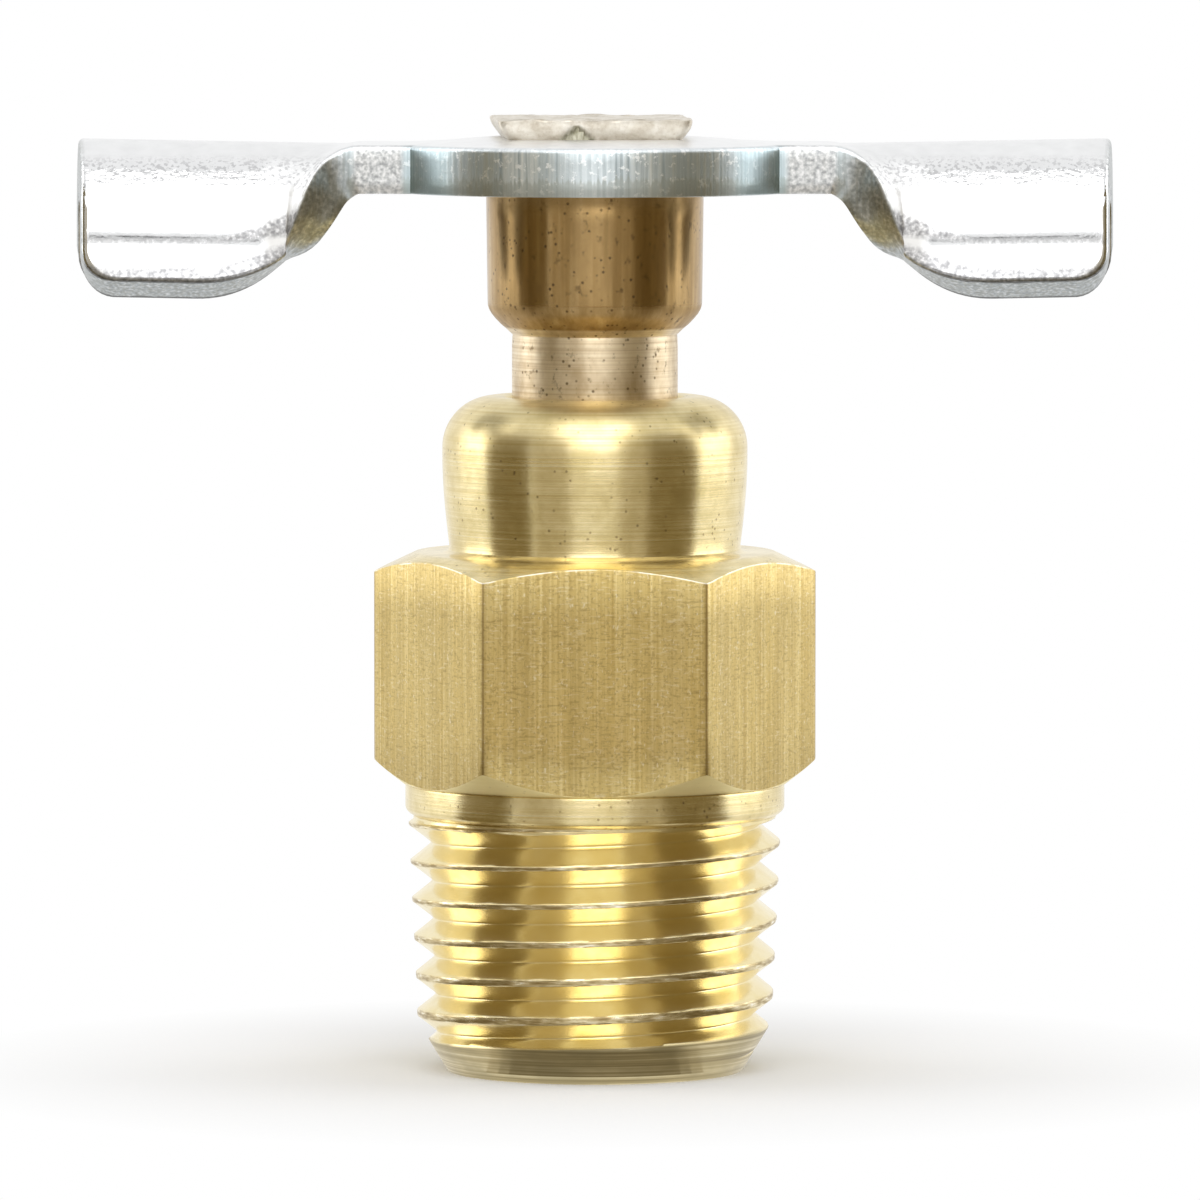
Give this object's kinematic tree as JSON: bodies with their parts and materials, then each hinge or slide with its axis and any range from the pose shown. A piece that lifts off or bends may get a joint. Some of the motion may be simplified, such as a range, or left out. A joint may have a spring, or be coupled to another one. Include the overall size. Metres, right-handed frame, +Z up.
{
  "type": "drain cock",
  "caption": "Brass drain cock with a tapered male pipe thread, a hexagon and a screw-down stem turned by a formed steel wing handle; opens to let fluid out through the hollow stem.",
  "frame": {"origin": "centre of the pipe thread's end face, the bottom centre of the whole part", "axes": "+Z up the stem's axis to the handle, +X along the handle's wings"},
  "size_m": [0.0388, 0.0148, 0.0355],
  "materials": {
    "body_brass": "turned and drawn yellow brass",
    "stem_bronze": "turned, browner than the body",
    "zinc_plate": "bright zinc plate over stamped steel",
    "seal_rubber": "black moulded rubber"
  },
  "bodies": {
    "housing": {"valve_body": "body_brass"},
    "seal": {"stem_o_ring": "seal_rubber"},
    "spindle": {"valve_stem": "stem_bronze", "wing_handle": "zinc_plate"}
  },
  "joints": [
    {"name": "stem_lift", "type": "slide", "parent": "housing", "child": "seal", "axis": [0, 0, 1], "range_m": [0, 0.0025]},
    {"name": "handle_turn", "type": "hinge", "parent": "seal", "child": "spindle", "pos_m": [0, 0, 0.025], "axis": [0, 0, 1], "range_deg": [0, 810]}
  ],
  "couplings": [
    {"joint": "stem_lift", "follows": "handle_turn", "m_per_rad": 0.00015915}
  ]
}
